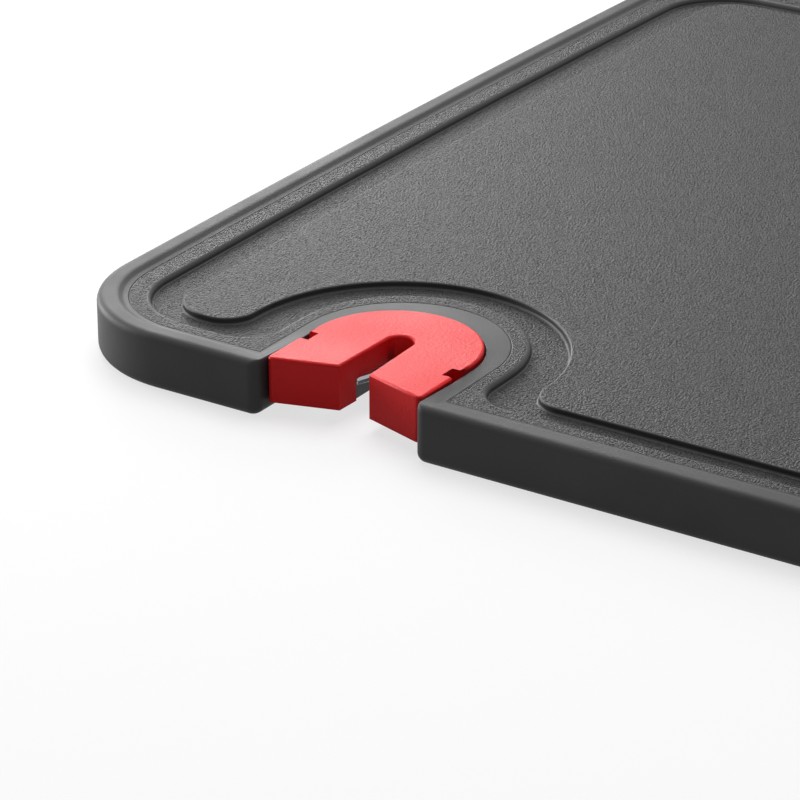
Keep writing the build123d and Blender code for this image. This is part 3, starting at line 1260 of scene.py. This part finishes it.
@dataclass(frozen=True)
class CoverScrews:
    """The countersunk screws that hold the cover, driven up from below. Sizes in millimetres."""

    finish: Material
    head_radius: float = 1.85
    head_chamfer: float = 0.08
    head_height: float = 0.9
    shank_radius: float = 0.95
    thread_start: float = 1.3
    tip_length: float = 0.9
    tip_radius: float = 0.3
    thread_pitch: float = 0.42
    thread_depth: float = 0.2
    recess_span: float = 1.9
    recess_width: float = 0.4
    recess_depth: float = 0.5
    rows_per_pitch: int = 8
    steps_round: int = 32

    def _tree(self) -> NodeTree:
        """Builds the node tree that lathes a threaded screw and stands it on each spot.

        Returns:
            The tree.
        """
        tree, given = start_tree("screw_set", {
            "Profile And Spots": "Geometry", "Steps Round": "Int", "Thread Pitch": "Float",
            "Thread Depth": "Float", "Recess Span": "Float", "Recess Width": "Float",
            "Recess Depth": "Float", "Metres Per Unit": "Float", "Finish": "Material",
        }, "Screws")
        index = add_node(tree, "GeometryNodeInputIndex")
        is_first = add_node(tree, MATHS, {0: index, 1: 0.0, 2: 0.5}, operation="COMPARE")
        profile = add_node(tree, "GeometryNodeSeparateGeometry", {
            "Geometry": given["Profile And Spots"], "Selection": is_first,
        }, domain="CURVE")
        lathed = self._lathed(tree, given, profile)
        welded = add_node(tree, "GeometryNodeMergeByDistance", {"Geometry": lathed, "Distance": SHARP / 2})
        screw = add_node(tree, "GeometryNodeFlipFaces", {"Mesh": welded})
        depth = add_node(tree, MATHS, {0: given["Recess Depth"], 1: 2.0}, operation="MULTIPLY")
        for length, width in (("Recess Span", "Recess Width"), ("Recess Width", "Recess Span")):
            size = add_node(tree, "ShaderNodeCombineXYZ", {
                "X": given[length], "Y": given[width], "Z": depth,
            })
            slot = add_node(tree, "GeometryNodeMeshCube", {"Size": size})
            screw = add_node(tree, "GeometryNodeMeshBoolean", {
                "Mesh 1": screw, "Mesh 2": slot,
            }, operation="DIFFERENCE", solver="EXACT")
        stood = add_node(tree, "GeometryNodeInstanceOnPoints", {
            "Points": profile.outputs["Inverted"], "Instance": screw,
        })
        scale = given["Metres Per Unit"]
        metres = add_node(tree, "ShaderNodeCombineXYZ", {"X": scale, "Y": scale, "Z": scale})
        sized = add_node(tree, "GeometryNodeTransform", {"Geometry": stood, "Scale": metres})
        end_tree(tree, sized, given["Finish"])
        return tree

    def _lathed(
        self, tree: NodeTree, given: Mapping[str, NodeSocket], profile: Node
    ) -> Node:
        """Adds the nodes that turn the profile round Z and cut the thread into it.

        Args:
            tree: The tree.
            given: What gives each of the tree's inputs.
            profile: The node that gives the profile.

        Returns:
            The node that gives the screw's open skin.
        """
        counts = add_node(tree, "GeometryNodeAttributeDomainSize", {0: profile}, component="CURVE")
        steps = given["Steps Round"]
        columns = add_node(tree, MATHS, {0: steps, 1: 1.0}, operation="ADD")
        row, column = rows_and_columns(tree, columns)
        turn = add_node(tree, MATHS, {0: column, 1: steps}, operation="DIVIDE")
        share = add_node(tree, "GeometryNodeInputNamedAttribute", {"Name": "radius"}, data_type="FLOAT")
        threaded = add_node(tree, "GeometryNodeSampleIndex", {
            "Geometry": profile, "Value": share, "Index": row,
        }, data_type="FLOAT", domain="POINT")
        parts = add_node(tree, "ShaderNodeSeparateXYZ", {0: place_on(tree, profile, row)})
        height = parts.outputs["Z"]
        pitches = add_node(tree, MATHS, {0: height, 1: given["Thread Pitch"]}, operation="DIVIDE")
        winds = add_node(tree, MATHS, {0: pitches, 1: turn}, operation="SUBTRACT")
        within = add_node(tree, MATHS, {0: winds}, operation="FRACT")
        off_middle = add_node(tree, MATHS, {0: within, 1: 0.5}, operation="SUBTRACT")
        from_ridge = add_node(tree, MATHS, {0: off_middle}, operation="ABSOLUTE")
        valley = add_node(tree, MATHS, {0: from_ridge, 1: 2.0}, operation="MULTIPLY")
        depth = add_node(tree, MATHS, {0: valley, 1: given["Thread Depth"]}, operation="MULTIPLY")
        cut = add_node(tree, MATHS, {0: depth, 1: threaded}, operation="MULTIPLY")
        reach = add_node(tree, MATHS, {0: parts.outputs["X"], 1: cut}, operation="SUBTRACT")
        angle = add_node(tree, MATHS, {0: turn, 1: 4 * QUARTER_TURN}, operation="MULTIPLY")
        wave_x = add_node(tree, MATHS, {0: angle}, operation="COSINE")
        wave_y = add_node(tree, MATHS, {0: angle}, operation="SINE")
        wound = add_node(tree, "ShaderNodeCombineXYZ", {
            "X": add_node(tree, MATHS, {0: reach, 1: wave_x}, operation="MULTIPLY"),
            "Y": add_node(tree, MATHS, {0: reach, 1: wave_y}, operation="MULTIPLY"),
            "Z": height,
        })
        grid = add_node(tree, "GeometryNodeMeshGrid", {"Vertices X": counts, "Vertices Y": columns})
        return add_node(tree, "GeometryNodeSetPosition", {"Geometry": grid, "Position": wound})

    def _profile(self, length: float) -> list[tuple[tuple[float, float, float], float]]:
        """Lists the lathed profile from the head's middle up to the tip's.

        Args:
            length: The screw's length.

        Returns:
            Each point on the XZ plane, with its share of the thread's depth.
        """
        shoulder, end = self.shank_radius, length - self.tip_length
        points = [
            (0.0, 0.0, 0.0), (self.head_radius - self.head_chamfer, 0.0, 0.0),
            (self.head_radius, self.head_chamfer, 0.0),
            (shoulder, self.head_height, 0.0), (shoulder, self.thread_start, 0.0),
        ]
        threaded = length - self.thread_start
        rows = math.ceil(threaded / self.thread_pitch * self.rows_per_pitch)
        for i in range(1, rows):
            height = self.thread_start + threaded * i / rows
            taper = max(height - end, 0.0) / self.tip_length
            share = min(i / self.rows_per_pitch, 1.0) * (1 - taper)
            points.append((shoulder + (self.tip_radius - shoulder) * taper, height, share))
        points += [(self.tip_radius, length, 0.0), (0.0, length, 0.0)]
        return [((radius, 0.0, height), share) for radius, height, share in points]

    @staticmethod
    def _spots() -> list[Vector]:
        """Finds the screws in the CAD node.

        Returns:
            The middle of each one, at the underside of its head, in millimetres.
        """
        shell = bmesh.new()
        shell.from_mesh(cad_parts["cover_screws"].data)
        bmesh.ops.remove_doubles(shell, verts=shell.verts, dist=SHARP * MM)
        left = set(shell.verts)
        spots = []
        while left:
            reached = [left.pop()]
            for vert in reached:
                near = {edge.other_vert(vert) for edge in vert.link_edges} & left
                left -= near
                reached += near
            lows = [min(v.co[i] for v in reached) for i in range(3)]
            highs = [max(v.co[i] for v in reached) for i in range(3)]
            spots.append(Vector(((lows[0] + highs[0]) / 2, (lows[1] + highs[1]) / 2, lows[2])) / MM)
        shell.free()
        return sorted(spots, key=lambda spot: (round(spot.x, 1), round(spot.y, 1)))

    def build(self) -> None:
        """Builds the screws, as one piece."""
        low, high = box_mm("cover_screws")
        lines = [self._profile(high.z - low.z), [(spot, 1.0) for spot in self._spots()]]
        piece = evaluated_piece(polylines("cross_recess_screws", lines), self._tree(), {
            "Steps Round": self.steps_round, "Thread Pitch": self.thread_pitch,
            "Thread Depth": self.thread_depth, "Recess Span": self.recess_span,
            "Recess Width": self.recess_width, "Recess Depth": self.recess_depth,
            "Metres Per Unit": MM, "Finish": self.finish,
        })
        hand_over(piece, Body.SHARPENER, "screw_steel", "cover_screws")


@dataclass(frozen=True)
class Sharpener:
    """The sliding sharpener: its housing, cover, blades and screws, with the finish of each."""

    plan: BoardPlan
    housing: Material
    cover: Material
    carbide: Material
    steel: Material

    def build(self) -> None:
        """Builds the sharpener's pieces."""
        for node, slot, finish in (
            ("sharpener_housing", "housing_plastic", self.housing),
            ("sharpener_cover", "cover_plastic", self.cover),
        ):
            piece = copied_piece(node, f"{node}_moulding", finish)
            hand_over(piece, Body.SHARPENER, slot, node)
        for node, name in (
            ("left_carbide_blade", "left_ground_blade"),
            ("right_carbide_blade", "right_ground_blade"),
        ):
            GroundBlade(node, name, self.carbide, self.plan.notch_x).build()
        CoverScrews(self.steel).build()


# ---- The studio ----


@dataclass(frozen=True)
class SoftBox:
    """A square studio lamp. Lengths in metres, power in watts."""

    name: str
    place: tuple[float, float, float]
    width: float
    power: float

    def build(self, aim: Vector) -> None:
        """Adds the lamp.

        Args:
            aim: The point that it is turned towards.
        """
        lamp = bpy.data.lights.new(self.name, "AREA")
        lamp.shape = "SQUARE"
        lamp.size = self.width
        lamp.energy = self.power
        stand = new_object(self.name, lamp)
        stand.location = self.place
        stand.rotation_euler = (aim - Vector(self.place)).to_track_quat("-Z", "Y").to_euler()
        stand.visible_camera = False


@dataclass(frozen=True)
class Studio:
    """The camera at the photograph's angle, the floor, the world and the lamps. In metres."""

    camera_place: tuple[float, float, float] = (0.161352, -0.478879, 0.215618)
    camera_target: tuple[float, float, float] = (-0.084889, -0.099437, 0.009)
    lens: float = 157.5             # mm, on a sensor 36 mm wide
    sensor: float = 36.0
    floor_width: float = 8.0
    floor_gap: float = 0.00002      # the floor lies this far under the rim, so that they don't flicker
    fill: float = 0.12              # what the world gives the surfaces, where 1 is white
    lamps: tuple[SoftBox, ...] = (
        SoftBox("overhead_softbox", (-0.35, 0.35, 1.1), 0.9, 11.5),
        SoftBox("rear_softbox", (-0.41, 0.255, 0.17), 0.26, 0.6),
        SoftBox("near_softbox", (-0.335, 0.16, 0.13), 0.16, 0.42),
        SoftBox("corner_softbox", (-0.47, -0.07, 0.06), 0.12, 1.1),
    )

    def build(self, floor_finish: Material) -> None:
        """Builds the studio.

        Args:
            floor_finish: The floor's material.
        """
        self._camera()
        self._world()
        self._floor(floor_finish)
        for lamp in self.lamps:
            lamp.build(Vector(self.camera_target))
        bpy.context.scene.view_settings.view_transform = "Standard"

    def _camera(self) -> None:
        """Sets the camera up."""
        data = bpy.data.cameras.new("camera")
        data.lens = self.lens
        data.sensor_width = self.sensor
        data.sensor_fit = "HORIZONTAL"
        camera = new_object("camera", data)
        camera.location = self.camera_place
        view = Vector(self.camera_target) - Vector(self.camera_place)
        camera.rotation_euler = view.to_track_quat("-Z", "Y").to_euler()
        bpy.context.scene.camera = camera

    def _world(self) -> None:
        """Makes the world white to look at, and a plain grey fill as light."""
        world = bpy.data.worlds.new("white_backdrop")
        world.use_nodes = True
        tree = world.node_tree
        tree.nodes.clear()
        strength = add_node(tree, "ShaderNodeMapRange", {
            "Value": seen_rays(tree), "To Min": self.fill, "To Max": 1.0,
        })
        light = add_node(tree, "ShaderNodeBackground", {
            "Color": (1.0, 1.0, 1.0, 1.0), "Strength": strength,
        })
        add_node(tree, "ShaderNodeOutputWorld", {"Surface": light})
        bpy.context.scene.world = world

    def _floor(self, finish: Material) -> None:
        """Lays the floor.

        Args:
            finish: Its material.
        """
        half = self.floor_width / 2
        signs = ((-1, -1), (1, -1), (1, 1), (-1, 1))
        mesh = bpy.data.meshes.new("floor")
        mesh.from_pydata([(x * half, y * half, -self.floor_gap) for x, y in signs], [], [(0, 1, 2, 3)])
        mesh.materials.append(finish)
        floor = new_object("floor", mesh)


def main() -> None:
    """Builds every piece and the studio."""
    logging.basicConfig(level=logging.INFO, format="%(name)s: %(message)s")
    plate_plastic = GrainedPolypropylene("moulded_polypropylene", "#2c2c2d", 0.5, specular=0.15).material()
    rim_elastomer = SmoothPlastic(
        "moulded_elastomer", "#272728", 0.6, specular=0.34, frost_width=0.3, frost_depth=0.03,
    ).material()
    red_plastic = SmoothPlastic(
        "red_abs", "#e42023", 0.5, specular=0.18, frost_width=0.5, frost_depth=0.08,
    ).material()
    cover_plastic = SmoothPlastic("grey_abs", "#3a3c3f", 0.45).material()
    carbide = GroundMetal("ground_tungsten_carbide", "#9a9ca0", 0.3).material()
    plated_steel = GroundMetal("zinc_plated_steel", "#c4c8cc", 0.25, line_length=0.2).material()
    floor_finish = PaleFloor("matt_white_laminate", "#ffffff", 1.0).material()

    Studio().build(floor_finish)
    plan = BoardPlan.from_frame()
    skin = RingSkin(plan)
    SoftRim(plan, rim_elastomer).build(skin)
    CuttingPlate(plan, plate_plastic).build(skin)
    SharpenerRail(plan, plate_plastic).build()
    Sharpener(plan, red_plastic, cover_plastic, carbide, plated_steel).build()


if __name__ == "__main__":
    main()
